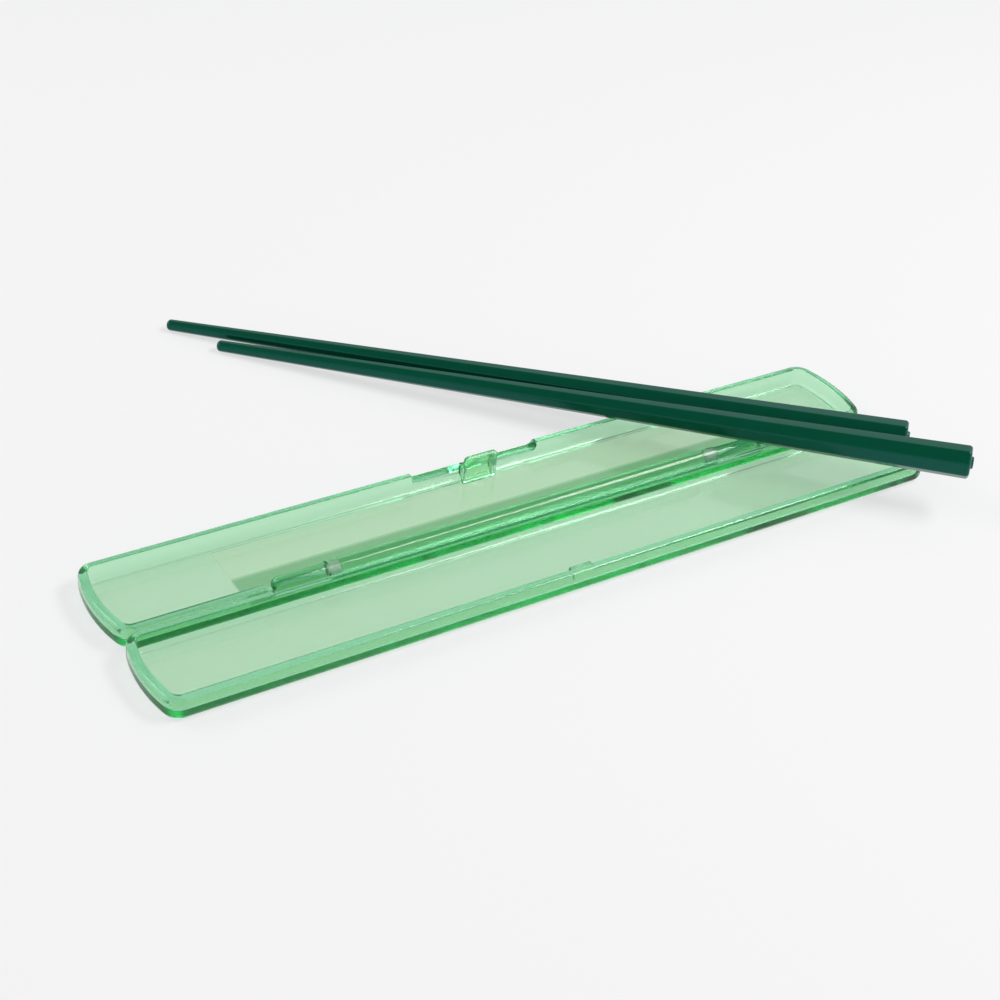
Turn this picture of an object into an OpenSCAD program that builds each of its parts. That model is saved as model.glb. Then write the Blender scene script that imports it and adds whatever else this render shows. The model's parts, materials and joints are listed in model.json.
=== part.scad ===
// Portable chopstick case: a base tray and a lid tray joined by a pin hinge along one long side,
// closed by a tongue and a catch bar, with the pair of chopsticks that it carries.
// Millimetres, +Z up. The origin is the middle of the base tray's underside, +X runs along the case,
// and the lid lies open and flat in front of the base, on the -Y side.

/* [Case] */
// Overall length of both trays
case_l = 240; // [210:1:280]
// Width of the base tray
base_w = 29.8; // [27:0.1:36]
// Height of each tray, from its underside to its rim
shell_h = 6.6; // [6:0.1:9]
// Thickness of the side walls
wall = 2.4; // [2:0.1:3]
// Thickness of the tray floors
floor_t = 1.4; // [1:0.1:2]
// Radius of the bowed ends
end_r = 45; // [35:1:80]
// Radius of the corners in plan
corner_r = 4.8; // [4.8:0.1:7]

/* [Edges] */
// Radius of the rim's outer edge
rim_out_r = 1.2; // [0.4:0.1:1.4]
// Radius of the rim's inner edge
rim_in_r = 0.4; // [0.2:0.1:0.5]
// Radius of the outer bottom edge
bottom_r = 2; // [1:0.1:2.6]
// Fillet between wall and floor inside the trays
foot_r = 1.7; // [0.8:0.1:1.7]
// Length of the shallow panel sunk in the base floor
panel_l = 165; // [120:1:180]
// Depth of that panel
panel_deep = 0.1; // [0.05:0.05:0.4]

/* [Hinge] */
// Distance from the base's front face in to the hinge axis
axis_in = 0.5; // [0.2:0.1:1]
// Gap between the two trays when the lid lies open
tray_gap = 0.4; // [0.3:0.1:1]
// Gap between the two rims when the case is closed
closed_gap = 0.12; // [0.06:0.02:0.3]
// Diameter of the lid's hinge barrel
barrel_d = 4.8; // [4.4:0.1:5.2]
// Height above the hinge axis at which the leaf leaves the barrel
leaf_up = 1.8; // [1:0.1:2]
// Length of the hinge barrel
barrel_l = 124; // [90:1:140]
// Diameter of the base's two hinge knuckles
knuckle_d = 4.2; // [3.8:0.1:4.6]
// Length of each knuckle with its domed end
knuckle_l = 15.2; // [10:0.1:20]
// Rounding of each knuckle's outer end
dome_r = 1.7; // [1:0.1:1.8]
// Diameter of the hinge pins
pin_d = 2.5; // [1.8:0.1:2.8]
// Length of each pin inside the barrel
pin_l = 3; // [2:0.1:6]
// Radial clearance of a pin in its bore
pin_play = 0.05; // [0.02:0.01:0.09]
// End play between barrel and knuckle, and between pin and bore end
side_play = 0.3; // [0.2:0.05:0.6]
// Clearance round the barrel and the knuckles where the other tray makes room
relief = 0.35; // [0.2:0.05:0.5]
// How far the base wall stands up into each knuckle
knuckle_seat = 0.8; // [0.6:0.1:1.6]
// Gap between a knuckle's dome and the end of the base's rim
dome_gap = 1.2; // [0.5:0.1:3]

/* [Latch] */
// Place of the latch along the case, from its middle
latch_x = -1; // [-10:0.5:10]
// Length of the finger notch in the base's rear wall
notch_l = 41; // [24:1:60]
// Depth of the notch at the wall's outer face
notch_drop = 1.9; // [1.4:0.1:2.4]
// Fall of the notch's sill towards the inside, in degrees
sill_fall = 28; // [0:1:30]
// Radius of the notch's lower corners
notch_r = 2; // [1:0.1:2.4]
// Width of the latch tongue
tongue_w = 10.4; // [8:0.1:16]
// Thickness of the tongue
tongue_t = 0.9; // [0.8:0.1:1.2]
// Height of the tongue above the rim
tongue_up = 3.2; // [1.8:0.1:3.4]
// Radius of the tongue's upper corners
tongue_r = 1.2; // [0.6:0.1:1.8]
// Width of the catch bar inside the lid
catch_w = 6.5; // [4:0.1:9]
// How far the catch bar stands out from the lid's wall
catch_out = 1.6; // [0.9:0.05:1.8]
// Depth of the catch bar's flat below the lid's rim
catch_drop = 0.8; // [0.5:0.1:1.2]
// Height of the catch bar's flat nose
catch_nose = 1.2; // [0.8:0.1:1.4]
// Height of the ramp under the nose
catch_ramp = 1.2; // [0.8:0.1:1.4]
// Clearance between catch bar and tongue
latch_play = 0.35; // [0.3:0.05:0.5]
// Width of the ribs that tie the tongue to the wall
rib_w = 1; // [0.8:0.1:1.5]
// Length of the lens-shaped bump at the tongue's foot
bump_l = 5; // [3:0.1:7]
// Height of that bump
bump_h = 0.5; // [0.3:0.1:0.8]
// Height of the bump's middle above the floor
bump_up = 2; // [1:0.1:2.4]

/* [Chopsticks] */
// Room left in the case along the chopsticks
stick_play = 10.2; // [6:0.1:20]
// Room left above the chopsticks in the closed case
stick_room = 1.5; // [1:0.1:2.5]
// Thickness across the flats at the tip
tip_d = 3.3; // [2:0.1:4]
// Thickness across the flats where the slim front part ends
neck_d = 5.6; // [4.5:0.1:6.5]
// Length of the slim front part
neck_l = 79; // [60:1:100]
// Bevel round the thick end
butt_bevel = 0.6; // [0.3:0.1:1]
// Rounding of the tip
tip_bevel = 0.7; // [0.3:0.1:0.9]
// Diameter of the small boss on the thick end
boss_d = 3.5; // [2:0.1:4.5]
// Height of that boss
boss_h = 0.7; // [0.4:0.1:1.5]
// Front chopstick's tip, along the case from its middle
front_tip_x = -36.4; // [-45:0.1:-28]
// Front chopstick's tip, behind the base's rear face
front_tip_y = 88.5; // [84:0.5:94]
// Front chopstick's direction in plan, in degrees
front_turn = -47; // [-49:0.1:-45]
// How far the rear chopstick lies back along the front one
rear_lag = 18.5; // [10:0.5:24]
// Angle between the two chopsticks in plan, in degrees
rear_spread = 0.9; // [0.6:0.1:1.6]
// Gap between the two chopsticks at their thick ends
stick_gap = 0.2; // [0.1:0.1:1]
// Clearance of a chopstick over what it rests on
rest_gap = 0.1; // [0.05:0.05:0.3]

/* [Hidden] */
$fn = 64;
plastic = [0.55, 0.85, 0.62, 0.6];
lacquer = [0.0, 0.28, 0.2];
over = 1;
plan_steps = 10;
edge_steps = 6;

// Hinge axis and the lid's place, from the base's width
axis_y = -base_w / 2 + axis_in;
axis_z = shell_h + closed_gap / 2;
reach = base_w - axis_in;
lid_back = axis_y - axis_in - tray_gap;
lid_front = axis_y - reach;
lid_w = lid_back - lid_front;
lid_y = (lid_back + lid_front) / 2;
barrel_end = barrel_l / 2;
knuckle_end = barrel_end + side_play + knuckle_l;
rim_end = knuckle_end + dome_gap;
barrel_cut_z = axis_z - barrel_d / 2 - relief;
knuckle_cut_z = axis_z - knuckle_d / 2 + knuckle_seat;

// Latch, from the inner faces of the two walls that meet when the case is closed
far_in = base_w / 2 - wall;
sill_z = shell_h - notch_drop;
tongue_y = far_in - catch_out - latch_play - tongue_t;
tongue_h = shell_h + tongue_up - floor_t;
catch_y = lid_front + wall;
rib_sink = rib_w / 4;
bump_z = floor_t + bump_up;
bump_sink = tongue_t / 4;
bump_r = (bump_l * bump_l / 4 + bump_h * bump_h) / (2 * bump_h);

// Chopsticks: length and thickness follow the closed case
stick_l = case_l - 2 * wall - stick_play - boss_h;
stick_d = 2 * (shell_h - floor_t) + closed_gap - stick_room;
sides = 8;
half_side = 180 / sides;
skin = 0.001;
handle_slope = (stick_d - neck_d) / 2 / (stick_l - neck_l);

// Points on an arc about c from angle a0 to a1, leaving out the first and last few
function arc(c, r, a0, a1, steps, leave = 0) =
    [for (i = [leave:steps - leave]) let (a = a0 + (a1 - a0) * i / steps) c + r * [cos(a), sin(a)]];
// Wall section from the underside up the outer face, over the rim and down to the floor,
// as [distance inwards from the outer face, height]
wall_section = concat(
    arc([bottom_r, bottom_r], bottom_r, 270, 180, edge_steps),
    arc([rim_out_r, shell_h - rim_out_r], rim_out_r, 180, 90, edge_steps),
    arc([wall - rim_in_r, shell_h - rim_in_r], rim_in_r, 90, 0, edge_steps),
    arc([wall + foot_r, floor_t + foot_r], foot_r, 180, 270, edge_steps));
// Plan outline of a tray of width w, moved inwards by n: a bowed end between two round corners, twice
function plan(w, n) =
    let (bow_x = case_l / 2 - end_r)
    let (corner_y = w / 2 - corner_r)
    let (corner_x = bow_x + sqrt(pow(end_r - corner_r, 2) - corner_y * corner_y))
    let (bow_a = asin(corner_y / (end_r - corner_r)))
    let (half = concat(
        arc([corner_x, -corner_y], corner_r - n, -90, -bow_a, plan_steps),
        arc([bow_x, 0], end_r - n, -bow_a, bow_a, plan_steps, 1),
        arc([corner_x, corner_y], corner_r - n, bow_a, 90, plan_steps)))
    concat(half, -half);

// Thickness across the flats at a distance s from the tip
function thick(s) = s < neck_l
    ? tip_d + (neck_d - tip_d) * s / neck_l
    : neck_d + 2 * handle_slope * (s - neck_l);
// Rise of a chopstick that stands on its tip's lower edge and whose handle passes a point
// at plan distance d from that edge and at height h
function rise_over(d, h) =
    let (drop = (-(neck_d - tip_d) / 2 + handle_slope * neck_l) * cos(atan(handle_slope)))
    atan2(h, d) + atan(handle_slope) - asin(drop / norm([d, h]));
// Rise over the base's rear rim or over the hinge knuckle, whichever lifts it more
function rise_at(tip, turn) = max(
    rise_over((tip.y - base_w / 2 + rim_out_r) / sin(-turn), shell_h + rest_gap),
    rise_over((tip.y - axis_y) / sin(-turn), axis_z + knuckle_d / 2 + rest_gap));

front_tip = [front_tip_x, base_w / 2 + front_tip_y];
front_way = [cos(front_turn), sin(front_turn)];
front_side = [-sin(front_turn), cos(front_turn)];
rear_turn = front_turn + rear_spread;
rear_end = stick_l - rear_lag;
rear_off = (stick_d + thick(rear_end)) / 2 + stick_gap;
rear_butt = front_tip + front_way * rear_end + front_side * rear_off;
rear_tip = rear_butt - stick_l * [cos(rear_turn), sin(rear_turn)];

// An open tray of width w: its wall section carried round its plan outline, and the floor between
module tray(w) {
    points = [for (p = wall_section) each [for (q = plan(w, p.x)) [q.x, q.y, p.y]]];
    per_row = len(plan(w, 0));
    rows = len(wall_section);
    walls = [for (k = [0:rows - 2], j = [0:per_row - 1]) let (i = (j + 1) % per_row)
        [k * per_row + j, (k + 1) * per_row + j, (k + 1) * per_row + i, k * per_row + i]];
    under = [for (j = [0:per_row - 1]) j];
    inside = [for (j = [per_row - 1:-1:0]) (rows - 1) * per_row + j];
    polyhedron(points, concat([under], walls, [inside]));
}

// A round bar along X on the hinge axis, from x0 to x1
module axis_bar(d, x0, x1) {
    translate([x0, axis_y, axis_z]) rotate([0, 90, 0]) cylinder(d = d, h = x1 - x0);
}

// Hinge knuckle with its domed end and the pin that enters the barrel
module knuckle() {
    flat_r = knuckle_d / 2 - dome_r;
    translate([barrel_end + side_play, axis_y, axis_z]) rotate([0, 90, 0]) rotate_extrude() {
        square([knuckle_d / 2, knuckle_l - dome_r]);
        square([flat_r, knuckle_l]);
        translate([flat_r, knuckle_l - dome_r]) intersection() {
            circle(dome_r);
            square(dome_r);
        }
    }
    axis_bar(pin_d, barrel_end - pin_l, barrel_end + side_play + pin_d);
}

// Room in the base's front wall: low under the barrel, higher under the knuckles, sloped at its ends
module hinge_room() {
    translate([0, -base_w / 2 + wall + over, 0]) rotate([90, 0, 0]) linear_extrude(wall + 2 * over) {
        polygon([[-rim_end, knuckle_cut_z], [rim_end, knuckle_cut_z],
                 [rim_end + over, shell_h + over], [-rim_end - over, shell_h + over]]);
        translate([-barrel_end - side_play / 2, barrel_cut_z])
            square([barrel_l + side_play, shell_h]);
    }
}

// Finger notch through the base's rear wall, with round lower corners and a sill that falls inwards
module finger_notch() {
    translate([latch_x, base_w / 2, sill_z]) rotate([sill_fall, 0, 0])
        translate([0, 2 * over, 0]) rotate([90, 0, 0]) linear_extrude(wall + 4 * over) {
            translate([-notch_l / 2, notch_r]) square([notch_l, shell_h]);
            translate([-notch_l / 2 + notch_r, 0]) square([notch_l - 2 * notch_r, shell_h]);
            for (s = [-1, 1]) translate([s * (notch_l / 2 - notch_r), notch_r]) circle(notch_r);
        }
}

// Latch tongue on the base floor, its two ribs and the bump at its foot, at the latch's place
module tongue() {
    root = floor_t / 2;
    corner = [tongue_w / 2 - tongue_r, tongue_h - tongue_r];
    translate([0, tongue_y + tongue_t, floor_t]) rotate([90, 0, 0]) linear_extrude(tongue_t)
        polygon(concat(
            [[tongue_w / 2, -root]],
            arc(corner, tongue_r, 0, 90, plan_steps),
            arc([-corner.x, corner.y], tongue_r, 90, 180, plan_steps),
            [[-tongue_w / 2, -root]]));
    rib_y = tongue_y + tongue_t / 2;
    for (s = [-1, 1]) translate([s * (tongue_w - rib_w) / 2 - rib_w / 2, rib_y, root])
        cube([rib_w, far_in + rib_sink - rib_y, shell_h - root]);
    translate([0, tongue_y + bump_sink, bump_z]) rotate([0, 90, 0]) rotate_extrude() intersection() {
        translate([bump_h + bump_sink - bump_r, 0]) circle(bump_r);
        translate([0, -bump_l / 2 - bump_sink]) square([bump_h + bump_sink, bump_l + 2 * bump_sink]);
    }
}

// Catch bar inside the lid's front wall: a flat nose over a ramp
module catch_bar() {
    top = shell_h - catch_drop;
    translate([latch_x - catch_w / 2, catch_y, 0]) rotate([90, 0, 90]) linear_extrude(catch_w)
        polygon([[-wall / 2, top], [catch_out, top], [catch_out, top - catch_nose],
                 [0, top - catch_nose - catch_ramp], [-wall / 2, top - catch_nose - catch_ramp]]);
}

// Leaf between the barrel and the lid's inner rim edge
module leaf() {
    root = [lid_back - wall + rim_in_r - axis_y, shell_h - rim_in_r - axis_z];
    translate([-barrel_end, axis_y, axis_z]) rotate([90, 0, 90]) linear_extrude(barrel_l)
        polygon([[0, 0], [0, leaf_up], root, [root.x, root.y - over], [0, -over]]);
}

// A thin octagon across the chopstick at a distance s from its tip, d across the flats
module ring(s, d) {
    translate([s, 0, 0]) rotate([0, 90, 0]) rotate(half_side)
        cylinder(d = d / cos(half_side), h = skin, $fn = sides);
}

// A chopstick along +X with its tip's lower edge at the origin
module chopstick() {
    translate([0, 0, tip_d / 2]) {
        hull() {
            ring(0, tip_d - 2 * tip_bevel);
            ring(tip_bevel, thick(tip_bevel));
            ring(neck_l, neck_d);
        }
        hull() {
            ring(neck_l, neck_d);
            ring(stick_l - butt_bevel, thick(stick_l - butt_bevel));
            ring(stick_l, stick_d - 2 * butt_bevel);
        }
        translate([stick_l - over, 0, 0]) rotate([0, 90, 0]) cylinder(d = boss_d, h = boss_h + over);
    }
}

module base_tray() {
    color(plastic) union() {
        difference() {
            tray(base_w);
            hinge_room();
            finger_notch();
            translate([-panel_l / 2, -far_in + foot_r, floor_t - panel_deep])
                cube([panel_l, 2 * (far_in - foot_r), panel_deep + over]);
        }
        for (m = [0, 1]) mirror([m, 0, 0]) knuckle();
        translate([latch_x, 0, 0]) tongue();
    }
}

module lid_tray() {
    color(plastic) difference() {
        union() {
            translate([0, lid_y, 0]) tray(lid_w);
            axis_bar(barrel_d, -barrel_end, barrel_end);
            leaf();
            catch_bar();
        }
        for (m = [0, 1]) mirror([m, 0, 0]) {
            axis_bar(pin_d + 2 * pin_play, barrel_end - pin_l - side_play, barrel_end + over);
            axis_bar(knuckle_d + 2 * relief, barrel_end, knuckle_end + side_play);
        }
    }
}

module front_chopstick() {
    color(lacquer) translate([front_tip.x, front_tip.y, 0])
        rotate([0, -rise_at(front_tip, front_turn), front_turn]) chopstick();
}

module rear_chopstick() {
    color(lacquer) translate([rear_tip.x, rear_tip.y, 0])
        rotate([0, -rise_at(rear_tip, rear_turn), rear_turn]) chopstick();
}

base_tray();
lid_tray();
front_chopstick();
rear_chopstick();
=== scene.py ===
"""Looks of a portable chopstick case: two clear green trays on a pin hinge, and its chopsticks."""

import json
import math

import bmesh
import bpy
from bpy.props import FloatProperty, FloatVectorProperty, IntProperty, PointerProperty
from mathutils import Matrix, Vector


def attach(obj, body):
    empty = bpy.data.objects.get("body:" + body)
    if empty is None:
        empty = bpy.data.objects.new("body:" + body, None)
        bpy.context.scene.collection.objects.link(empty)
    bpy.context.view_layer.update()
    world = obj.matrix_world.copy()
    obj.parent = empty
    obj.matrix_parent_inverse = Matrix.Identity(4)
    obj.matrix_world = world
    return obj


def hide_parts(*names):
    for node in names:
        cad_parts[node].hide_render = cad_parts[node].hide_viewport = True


bl_info = {
    "name": "Chopstick Case",
    "version": (1, 0, 0),
    "blender": (4, 5, 0),
    "location": "View3D > Sidebar > Case",
    "description": "Dresses the trays and chopsticks of a portable chopstick case and sets its stage",
    "category": "Object",
}

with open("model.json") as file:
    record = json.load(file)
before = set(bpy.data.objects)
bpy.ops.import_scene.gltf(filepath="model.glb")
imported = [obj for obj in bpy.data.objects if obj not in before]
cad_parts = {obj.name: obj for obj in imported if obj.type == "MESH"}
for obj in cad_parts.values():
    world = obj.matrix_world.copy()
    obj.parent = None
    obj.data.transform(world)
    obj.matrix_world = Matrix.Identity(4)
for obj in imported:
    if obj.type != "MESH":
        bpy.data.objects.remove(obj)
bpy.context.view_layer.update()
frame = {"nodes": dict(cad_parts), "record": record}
MM = 0.001
TRAYS = {"base_tray": "base", "lid_tray": "lid"}
CHOPSTICKS = {"front_chopstick": "front_stick", "rear_chopstick": "rear_stick"}

# Corners of the loose triangles that lie this close are joined
MERGE_GAP = 0.002 * MM
# Faces that meet at less than this are one flat face of a chopstick
FLAT_ANGLE = math.radians(0.3)
# Faces of a chopstick that meet at more than this get a rounded edge
EDGE_ANGLE = math.radians(30)
# Weight that keeps the normals of large faces square to them
FACE_WEIGHT = 100
# Width over which the panel's tint and the painted shade in the base's floor fade at their borders
TINT_AND_SHADE_FADE = 0.15 * MM

# The stretch of a noise's values that is used
GRAIN_SPAN = (0.3, 0.7)
# Noises, each as its scale and its detail
CLEAR_GRAIN = (900, 4)
CLEAR_WAVES = (90, 2)
PIN_CLOUDS = (400, 3)
PIN_GRAIN = (1200, 3)
PIN_WAVES = (700, 2)
STICK_CLOUDS = (160, 3)
STICK_GRAIN = (1400, 4)
STICK_WAVES = (2600, 2)
# Bumps, each as its strength and its depth
CLEAR_BUMPS = (0.05, 0.2 * MM)
PIN_BUMPS = (0.1, 0.1 * MM)
STICK_BUMPS = (0.08, 0.05 * MM)
# Least and greatest roughness, as shares of the plastic's own, and as they are on the pins
CLEAR_SPREAD = (0.5, 1.5)
STICK_SPREAD = (0.8, 1.2)
PIN_ROUGHNESS = (0.3, 0.5)
# The second colour of a clouded plastic, as a share of its first
PIN_CLOUDING = 0.9
STICK_CLOUDING = 1.25

TABLE_REACH = 6
TABLE_DROP = 0.1 * MM
TABLE_ROUGHNESS = 0.9
# Heights, from 0 at the horizon to 1 straight above, between which the sky dims
SKY_SPAN = (0.6, 0.8)
LIGHT_AIM = (0, 0, 0)
SENSOR_WIDTH = 36
NEAREST_SEEN = 0.01


class CaseLooks(bpy.types.PropertyGroup):
    """Finishes and edge sizes of the case and the chopsticks"""

    clear_colour: FloatVectorProperty(
        name="Clear colour", description="Pale tint of the clear plastic's surface",
        subtype="COLOR", size=3, min=0, max=1, default=(0.745, 0.945, 0.725))
    panel_colour: FloatVectorProperty(
        name="Panel colour", description="Warmer tint of the panel sunk in the base's floor",
        subtype="COLOR", size=3, min=0, max=1, default=(0.765, 0.938, 0.69))
    panel_low: FloatVectorProperty(
        name="Panel start", description="Lower corner of the space that holds that panel",
        subtype="TRANSLATION", size=3, default=(-82.5 * MM, -12.4 * MM, -0.5 * MM))
    panel_high: FloatVectorProperty(
        name="Panel end", description="Upper corner of the space that holds that panel",
        subtype="TRANSLATION", size=3, default=(82.5 * MM, 10.7 * MM, 1.35 * MM))
    # Painted shade: a darker strip painted into the base's floor beside the hinge barrel, where shade
    # falls
    hinge_shade_colour: FloatVectorProperty(
        name="Band colour", description="Deeper tint of the band beside the hinge in the base's floor",
        subtype="COLOR", size=3, min=0, max=1, default=(0.37, 0.67, 0.38))
    hinge_shade_low: FloatVectorProperty(
        name="Band start", description="Lower corner of the space that holds that band",
        subtype="TRANSLATION", size=3, default=(-82.5 * MM, -12.4 * MM, -0.5 * MM))
    hinge_shade_high: FloatVectorProperty(
        name="Band end", description="Upper corner of the space that holds that band",
        subtype="TRANSLATION", size=3, default=(82.5 * MM, -1.3 * MM, 1.6 * MM))
    clear_tint: FloatVectorProperty(
        name="Clear tint", description="Colour that a thick stretch of the plastic lets through",
        subtype="COLOR", size=3, min=0, max=1, default=(0.0, 0.76, 0.46))
    clear_density: FloatProperty(
        name="Tint density", description="How fast the clear plastic takes on its tint, per metre",
        min=0, default=120)
    clear_index: FloatProperty(
        name="Refraction", description="Index of refraction of the clear plastic", min=1, default=1.42)
    clear_roughness: FloatProperty(
        name="Clear roughness", description="Roughness of the polished plastic",
        subtype="FACTOR", min=0, max=1, default=0.11)
    stick_colour: FloatVectorProperty(
        name="Chopstick colour", description="Colour of the moulded chopsticks",
        subtype="COLOR", size=3, min=0, max=1, default=(0.0003, 0.054, 0.023))
    stick_roughness: FloatProperty(
        name="Chopstick roughness", description="Roughness of the chopsticks",
        subtype="FACTOR", min=0, max=1, default=0.16)
    stick_edge: FloatProperty(
        name="Chopstick edge", description="Width of the rounding along the chopsticks' edges",
        unit="LENGTH", min=0, default=0.5 * MM)
    stick_sheen: FloatVectorProperty(
        name="Chopstick sheen", description="Cool tint of the light that the chopsticks throw back",
        subtype="COLOR", size=3, min=0, max=1, default=(0.25, 0.85, 1))
    edge_segments: IntProperty(
        name="Edge segments", description="Segments across a rounded edge", min=1, max=6, default=3)
    # Painted reflection: the clear pins and bores are shown pale and opaque for the light that they throw
    # back
    pin_glint_colour: FloatVectorProperty(
        name="Pin colour",
        description="Pale look of the hinge pins and their bores through the clear barrel",
        subtype="COLOR", size=3, min=0, max=1, default=(0.92, 0.94, 0.93))
    pin_reach: FloatProperty(
        name="Pin reach", description="Distance from the hinge line within which the pins and bores lie",
        unit="LENGTH", min=0, default=1.4 * MM)
    pin_end: FloatProperty(
        name="Pin end", description="Distance along the hinge line, from its middle, where the pins end",
        unit="LENGTH", min=0, default=62.2 * MM)
    smooth_angle: FloatProperty(
        name="Smooth angle", description="Faces that meet at less than this look like one surface",
        unit="ROTATION", min=0, default=math.radians(32))


class CaseStage(bpy.types.PropertyGroup):
    """Camera, light and floor"""

    azimuth: FloatProperty(
        name="Azimuth", description="Direction that the camera looks from",
        unit="ROTATION", default=math.radians(-35.6))
    elevation: FloatProperty(
        name="Elevation", description="Height of the camera above the horizon",
        unit="ROTATION", default=math.radians(35.22))
    roll: FloatProperty(
        name="Roll", description="Turn of the camera about its own line of sight",
        unit="ROTATION", default=math.radians(6.1))
    distance: FloatProperty(
        name="Distance", description="From the camera to the point that it looks at",
        unit="LENGTH", default=0.5438)
    focal: FloatProperty(
        name="Focal length", description="Focal length on a 36 mm wide sensor, in millimetres",
        min=1, default=70.8)
    aim: FloatVectorProperty(
        name="Aim", description="Point on the table that the camera looks at",
        subtype="TRANSLATION", size=3, default=(0.15 * MM, 0.41 * MM, 0))
    floor_colour: FloatVectorProperty(
        name="Floor colour", description="Colour of the table",
        subtype="COLOR", size=3, min=0, max=1, default=(0.88, 0.885, 0.91))
    backdrop_colour: FloatVectorProperty(
        name="Backdrop colour",
        description="Pale colour of the table as the camera and the clear plastic see it",
        subtype="COLOR", size=3, min=0, max=1, default=(0.913, 0.913, 0.913))
    backdrop_share: FloatProperty(
        name="Backdrop share", description="How much of that even colour lies over the shaded table",
        subtype="FACTOR", min=0, max=1, default=0.68)
    through_share: FloatProperty(
        name="Share through plastic",
        description="How much of it the clear plastic lets through over the shadows",
        subtype="FACTOR", min=0, max=1, default=0.45)
    key_place: FloatVectorProperty(
        name="Key place", description="Place of the key light",
        subtype="TRANSLATION", size=3, default=(0.55, -0.3, 0.8))
    key_size: FloatVectorProperty(
        name="Key size", description="Width and height of the key light",
        unit="LENGTH", size=2, min=0, default=(0.5, 0.28))
    key_power: FloatProperty(
        name="Key light", description="Power of the key light, in watts", min=0, default=6)
    fill_place: FloatVectorProperty(
        name="Fill place", description="Place of the light from the other side",
        subtype="TRANSLATION", size=3, default=(-0.6, 0.5, 0.6))
    fill_size: FloatVectorProperty(
        name="Fill size", description="Width and height of the light from the other side",
        unit="LENGTH", size=2, min=0, default=(0.6, 0.5))
    fill_power: FloatProperty(
        name="Fill light", description="Power of the light from the other side, in watts",
        min=0, default=2.5)
    light_colour: FloatVectorProperty(
        name="Light colour", description="Colour of the lights",
        subtype="COLOR", size=3, min=0, max=1, default=(1, 0.975, 0.95))
    sky_colour: FloatVectorProperty(
        name="Sky colour", description="Colour of the light from all around",
        subtype="COLOR", size=3, min=0, max=1, default=(0.95, 0.97, 1))
    low_sky: FloatProperty(
        name="Low sky", description="Strength of the light from the sides", min=0, default=0.8)
    high_sky: FloatProperty(
        name="High sky", description="Strength of the light from straight above", min=0, default=0.2)
    bounces: IntProperty(
        name="Light bounces", description="How often light may turn inside the clear plastic",
        min=4, default=48)


def merged_copy(node):
    """A copy of a CAD node's mesh, with its loose triangles joined."""
    bm = bmesh.new()
    bm.from_mesh(frame["nodes"][node].data)
    bmesh.ops.remove_doubles(bm, verts=bm.verts, dist=MERGE_GAP)
    return bm


def finished(bm, name, material, body, node):
    """The bmesh as a piece that rides on a body and stands for a CAD node."""
    mesh = bpy.data.meshes.new(name)
    bm.to_mesh(mesh)
    bm.free()
    mesh.materials.append(material)
    piece = bpy.data.objects.new(name, mesh)
    bpy.context.scene.collection.objects.link(piece)
    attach(piece, body)
    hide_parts(node)
    return piece


def near_axis(centre, joint, reach, end):
    """Whether a point lies on a hinge's pins or bores."""
    off = centre - Vector(joint["pos_m"])
    axis = Vector(joint["axis"])
    along = off.dot(axis)
    return abs(along) < end and (off - along * axis).length < reach


def smooth_by_angle(piece, angle):
    """Smooth shading that breaks at sharp edges, with flat faces kept flat."""
    piece.data.shade_smooth()
    piece.data.set_sharp_from_angle(angle=angle)
    flatten = piece.modifiers.new("Flat faces", "WEIGHTED_NORMAL")
    flatten.mode = "FACE_AREA"
    flatten.weight = FACE_WEIGHT
    flatten.keep_sharp = True


def new_material(name):
    """A node material with its tree, shader and output."""
    material = bpy.data.materials.new(name)
    material.use_nodes = True
    tree = material.node_tree
    shader = next(n for n in tree.nodes if n.type == "BSDF_PRINCIPLED")
    output = next(n for n in tree.nodes if n.type == "OUTPUT_MATERIAL")
    return material, tree, shader, output


def noise(tree, scale, detail):
    """A noise on the piece's own coordinates."""
    place = tree.nodes.new("ShaderNodeTexCoord")
    grain = tree.nodes.new("ShaderNodeTexNoise")
    grain.inputs["Scale"].default_value = scale
    grain.inputs["Detail"].default_value = detail
    tree.links.new(place.outputs["Object"], grain.inputs["Vector"])
    return grain


def ramp(tree, value, span, ends, socket):
    """Feeds a value to a socket, stretched from one span to another."""
    stretch = tree.nodes.new("ShaderNodeMapRange")
    stretch.inputs["From Min"].default_value, stretch.inputs["From Max"].default_value = span
    stretch.inputs["To Min"].default_value, stretch.inputs["To Max"].default_value = ends
    tree.links.new(value, stretch.inputs["Value"])
    tree.links.new(stretch.outputs["Result"], socket)


def joined(tree, operation, values):
    """One value made of several by a chain of math nodes."""
    total = values[0]
    for value in values[1:]:
        step = tree.nodes.new("ShaderNodeMath")
        step.operation = operation
        tree.links.new(total, step.inputs[0])
        tree.links.new(value, step.inputs[1])
        total = step.outputs["Value"]
    return total


def between(tree, value, low, high):
    """1 where a value lies between two bounds and 0 outside them."""
    both = tree.nodes.new("ShaderNodeMath")
    both.operation = "MULTIPLY"
    ramp(tree, value, (low - TINT_AND_SHADE_FADE, low + TINT_AND_SHADE_FADE), (0, 1), both.inputs[0])
    ramp(tree, value, (high + TINT_AND_SHADE_FADE, high - TINT_AND_SHADE_FADE), (0, 1), both.inputs[1])
    return both.outputs["Value"]


def in_box(tree, low, high):
    """1 where a piece's own coordinates lie in a box and 0 outside it."""
    place = tree.nodes.new("ShaderNodeTexCoord")
    axes = tree.nodes.new("ShaderNodeSeparateXYZ")
    tree.links.new(place.outputs["Object"], axes.inputs["Vector"])
    return joined(tree, "MULTIPLY", [
        between(tree, axis, start, end) for axis, start, end in zip(axes.outputs, low, high)])


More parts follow.
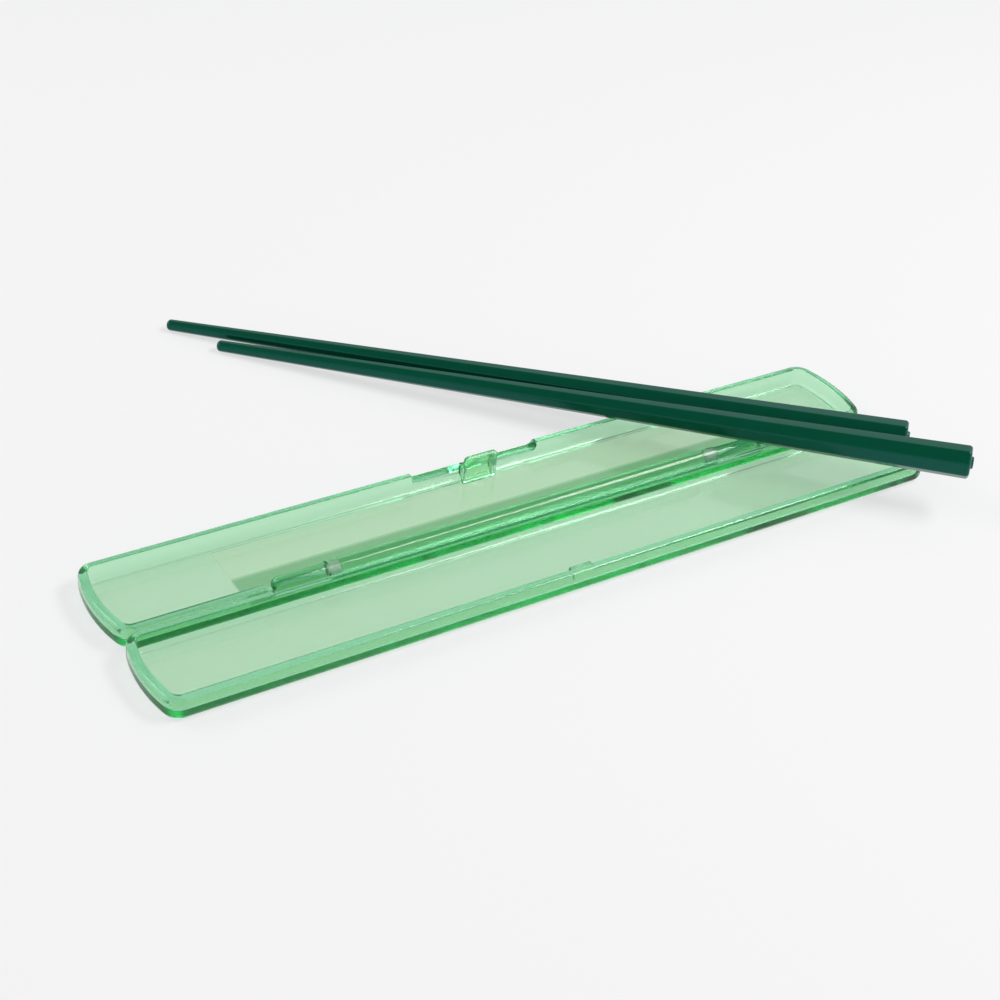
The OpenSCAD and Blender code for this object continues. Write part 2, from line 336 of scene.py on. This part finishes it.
def tint_or_shade_box(tree, colour, low, high):
    """A mix whose second colour, the panel's tint or the painted shade beside the hinge, fills a box."""
    mix = tree.nodes.new("ShaderNodeMixRGB")
    mix.inputs["Color2"].default_value = (*colour, 1)
    tree.links.new(in_box(tree, low, high), mix.inputs["Fac"])
    return mix


def spread(tree, grain, ends, socket):
    """Feeds a noise to a shader socket, stretched between two values."""
    ramp(tree, grain.outputs["Fac"], GRAIN_SPAN, ends, socket)


def clouded(tree, shader, grain, colour, change):
    """A base colour that a noise mixes with a darker or paler one."""
    shade = tree.nodes.new("ShaderNodeMixRGB")
    shade.inputs["Color1"].default_value = (*colour, 1)
    shade.inputs["Color2"].default_value = (*(change * c for c in colour), 1)
    tree.links.new(grain.outputs["Fac"], shade.inputs["Fac"])
    tree.links.new(shade.outputs["Color"], shader.inputs["Base Color"])


def bumps(tree, shader, grain, strength, depth):
    """Shallow bumps from a noise."""
    bump = tree.nodes.new("ShaderNodeBump")
    bump.inputs["Strength"].default_value = strength
    bump.inputs["Distance"].default_value = depth
    tree.links.new(grain.outputs["Fac"], bump.inputs["Height"])
    tree.links.new(bump.outputs["Normal"], shader.inputs["Normal"])


def clear_plastic(looks):
    """Clear green moulded plastic: pale through a thin floor, deep green along its edges."""
    material, tree, shader, output = new_material("clear_plastic")
    panel = tint_or_shade_box(tree, looks.panel_colour, looks.panel_low, looks.panel_high)
    panel.inputs["Color1"].default_value = (*looks.clear_colour, 1)
    # The second mix paints shade into the floor along the hinge barrel
    band = tint_or_shade_box(tree, looks.hinge_shade_colour, looks.hinge_shade_low, looks.hinge_shade_high)
    tree.links.new(panel.outputs["Color"], band.inputs["Color1"])
    tree.links.new(band.outputs["Color"], shader.inputs["Base Color"])
    shader.inputs["Transmission Weight"].default_value = 1
    shader.inputs["IOR"].default_value = looks.clear_index
    roughness = [share * looks.clear_roughness for share in CLEAR_SPREAD]
    spread(tree, noise(tree, *CLEAR_GRAIN), roughness, shader.inputs["Roughness"])
    bumps(tree, shader, noise(tree, *CLEAR_WAVES), *CLEAR_BUMPS)
    tint = tree.nodes.new("ShaderNodeVolumeAbsorption")
    tint.inputs["Color"].default_value = (*looks.clear_tint, 1)
    tint.inputs["Density"].default_value = looks.clear_density
    tree.links.new(tint.outputs["Volume"], output.inputs["Volume"])
    return material


def painted_pin_glint(looks):
    """A painted reflection: pale opaque plastic on the hinge pins and bores, standing in for the light
    that the clear plastic throws back there.
    """
    material, tree, shader, _ = new_material("painted_pin_glint")
    clouded(tree, shader, noise(tree, *PIN_CLOUDS), looks.pin_glint_colour, PIN_CLOUDING)
    spread(tree, noise(tree, *PIN_GRAIN), PIN_ROUGHNESS, shader.inputs["Roughness"])
    bumps(tree, shader, noise(tree, *PIN_WAVES), *PIN_BUMPS)
    return material


def stick_plastic(looks):
    """Dark green moulded plastic with a soft gloss."""
    material, tree, shader, _ = new_material("stick_plastic")
    clouded(tree, shader, noise(tree, *STICK_CLOUDS), looks.stick_colour, STICK_CLOUDING)
    shader.inputs["Specular Tint"].default_value = (*looks.stick_sheen, 1)
    roughness = [share * looks.stick_roughness for share in STICK_SPREAD]
    spread(tree, noise(tree, *STICK_GRAIN), roughness, shader.inputs["Roughness"])
    bumps(tree, shader, noise(tree, *STICK_WAVES), *STICK_BUMPS)
    return material


class CASE_OT_trays(bpy.types.Operator):
    """Makes the two clear trays"""

    bl_idname = "case.trays"
    bl_label = "Trays"

    def execute(self, context):
        looks = context.scene.case_looks
        plastic = clear_plastic(looks)
        pin_glint = painted_pin_glint(looks)
        hinge = next(j for j in frame["record"]["behaviour"]["joints"] if j["type"] == "hinge")
        for node, body in TRAYS.items():
            piece = finished(merged_copy(node), node + "_clear", plastic, body, node)
            piece.data.materials.append(pin_glint)
            # Faces on the pins and bores take the painted reflection
            for face in piece.data.polygons:
                face.material_index = int(near_axis(face.center, hinge, looks.pin_reach, looks.pin_end))
            smooth_by_angle(piece, looks.smooth_angle)
        return {"FINISHED"}


class CASE_OT_chopsticks(bpy.types.Operator):
    """Makes the two chopsticks with rounded edges"""

    bl_idname = "case.chopsticks"
    bl_label = "Chopsticks"

    def execute(self, context):
        looks = context.scene.case_looks
        plastic = stick_plastic(looks)
        for node, body in CHOPSTICKS.items():
            bm = merged_copy(node)
            bmesh.ops.dissolve_limit(bm, angle_limit=FLAT_ANGLE, verts=bm.verts, edges=bm.edges)
            edges = [e for e in bm.edges if e.is_manifold and e.calc_face_angle() > EDGE_ANGLE]
            bmesh.ops.bevel(bm, geom=edges, offset=looks.stick_edge, offset_type="OFFSET",
                            segments=looks.edge_segments, profile=0.5, affect="EDGES", material=-1,
                            clamp_overlap=True)
            piece = finished(bm, node + "_rounded", plastic, body, node)
            smooth_by_angle(piece, looks.smooth_angle)
        return {"FINISHED"}


def soft_light(name, place, size, power, colour):
    """A large rectangular light that faces the case."""
    lamp = bpy.data.lights.new(name, "AREA")
    lamp.shape = "RECTANGLE"
    lamp.size, lamp.size_y = size
    lamp.energy = power
    lamp.color = colour
    light = bpy.data.objects.new(name, lamp)
    light.matrix_world = Matrix.Translation(place) @ (
        (Vector(LIGHT_AIM) - Vector(place)).to_track_quat("-Z", "Y").to_matrix().to_4x4())
    bpy.context.scene.collection.objects.link(light)


def seen_rays(tree, share, through):
    """One share for the camera and gloss, one for light through clear plastic, and 0 for other light."""
    path = tree.nodes.new("ShaderNodeLightPath")
    weights = {"Is Camera Ray": share, "Is Glossy Ray": share, "Is Transmission Ray": through}
    parts = []
    for ray, weight in weights.items():
        part = tree.nodes.new("ShaderNodeMath")
        part.operation = "MULTIPLY"
        part.inputs[1].default_value = weight
        tree.links.new(path.outputs[ray], part.inputs[0])
        parts.append(part.outputs["Value"])
    return joined(tree, "MAXIMUM", parts)


class CASE_OT_stage(bpy.types.Operator):
    """Sets the table, the light and the camera"""

    bl_idname = "case.stage"
    bl_label = "Stage"

    def execute(self, context):
        stage = context.scene.case_stage
        self.table(stage)
        self.sky(context.scene, stage)
        soft_light("key_light", stage.key_place, stage.key_size, stage.key_power, stage.light_colour)
        soft_light("fill_light", stage.fill_place, stage.fill_size, stage.fill_power, stage.light_colour)
        self.camera(context.scene, stage)
        context.scene.view_settings.view_transform = "Standard"
        light = context.scene.cycles
        light.max_bounces = light.glossy_bounces = light.transmission_bounces = stage.bounces
        return {"FINISHED"}

    def table(self, stage):
        """A wide pale table."""
        bm = bmesh.new()
        bmesh.ops.create_grid(bm, x_segments=1, y_segments=1, size=TABLE_REACH)
        bmesh.ops.translate(bm, verts=bm.verts, vec=(0, 0, -TABLE_DROP))
        mesh = bpy.data.meshes.new("table")
        bm.to_mesh(mesh)
        bm.free()
        material, tree, shader, output = new_material("pale_table")
        shader.inputs["Base Color"].default_value = (*stage.floor_colour, 1)
        shader.inputs["Roughness"].default_value = TABLE_ROUGHNESS
        shader.inputs["Specular IOR Level"].default_value = 0
        even = tree.nodes.new("ShaderNodeEmission")
        even.inputs["Color"].default_value = (*stage.backdrop_colour, 1)
        both = tree.nodes.new("ShaderNodeMixShader")
        seen = seen_rays(tree, stage.backdrop_share, stage.through_share)
        tree.links.new(seen, both.inputs["Fac"])
        tree.links.new(shader.outputs["BSDF"], both.inputs[1])
        tree.links.new(even.outputs["Emission"], both.inputs[2])
        tree.links.new(both.outputs["Shader"], output.inputs["Surface"])
        mesh.materials.append(material)
        table = bpy.data.objects.new("table", mesh)
        bpy.context.scene.collection.objects.link(table)

    def sky(self, scene, stage):
        """Light from all around, paler near the horizon than straight above."""
        world = bpy.data.worlds.new("soft_sky")
        world.use_nodes = True
        tree = world.node_tree
        background = next(n for n in tree.nodes if n.type == "BACKGROUND")
        background.inputs["Color"].default_value = (*stage.sky_colour, 1)
        way = tree.nodes.new("ShaderNodeTexCoord")
        parts = tree.nodes.new("ShaderNodeSeparateXYZ")
        tree.links.new(way.outputs["Generated"], parts.inputs["Vector"])
        strength = background.inputs["Strength"]
        ramp(tree, parts.outputs["Z"], SKY_SPAN, (stage.low_sky, stage.high_sky), strength)
        scene.world = world

    def camera(self, scene, stage):
        """The camera, turned a little about its line of sight."""
        back = Vector((math.sin(stage.azimuth) * math.cos(stage.elevation),
                       -math.cos(stage.azimuth) * math.cos(stage.elevation),
                       math.sin(stage.elevation)))
        right = Vector((math.cos(stage.azimuth), math.sin(stage.azimuth), 0))
        up = back.cross(right)
        turn = Matrix((right, up, back)).transposed() @ Matrix.Rotation(stage.roll, 3, "Z")
        lens = bpy.data.cameras.new("photo_camera")
        lens.sensor_width = SENSOR_WIDTH
        lens.lens = stage.focal
        lens.clip_start = NEAREST_SEEN
        camera = bpy.data.objects.new("photo_camera", lens)
        camera.matrix_world = Matrix.Translation(Vector(stage.aim) + stage.distance * back) @ turn.to_4x4()
        scene.collection.objects.link(camera)
        scene.camera = camera


class CASE_PT_panel(bpy.types.Panel):
    """Lists the steps that dress the case"""

    bl_idname = "CASE_PT_panel"
    bl_label = "Chopstick Case"
    bl_space_type = "VIEW_3D"
    bl_region_type = "UI"
    bl_category = "Case"

    def draw(self, context):
        for operator in (CASE_OT_trays, CASE_OT_chopsticks, CASE_OT_stage):
            self.layout.operator(operator.bl_idname)
        for group in (context.scene.case_looks, context.scene.case_stage):
            for name in group.__annotations__:
                self.layout.prop(group, name)


CLASSES = (CaseLooks, CaseStage, CASE_OT_trays, CASE_OT_chopsticks, CASE_OT_stage, CASE_PT_panel)


def register():
    for cls in CLASSES:
        bpy.utils.register_class(cls)
    bpy.types.Scene.case_looks = PointerProperty(type=CaseLooks)
    bpy.types.Scene.case_stage = PointerProperty(type=CaseStage)


def unregister():
    del bpy.types.Scene.case_stage
    del bpy.types.Scene.case_looks
    for cls in reversed(CLASSES):
        bpy.utils.unregister_class(cls)


def main():
    """Makes every piece and the stage."""
    register()
    bpy.ops.case.trays()
    bpy.ops.case.chopsticks()
    bpy.ops.case.stage()


if __name__ == "__main__":
    main()
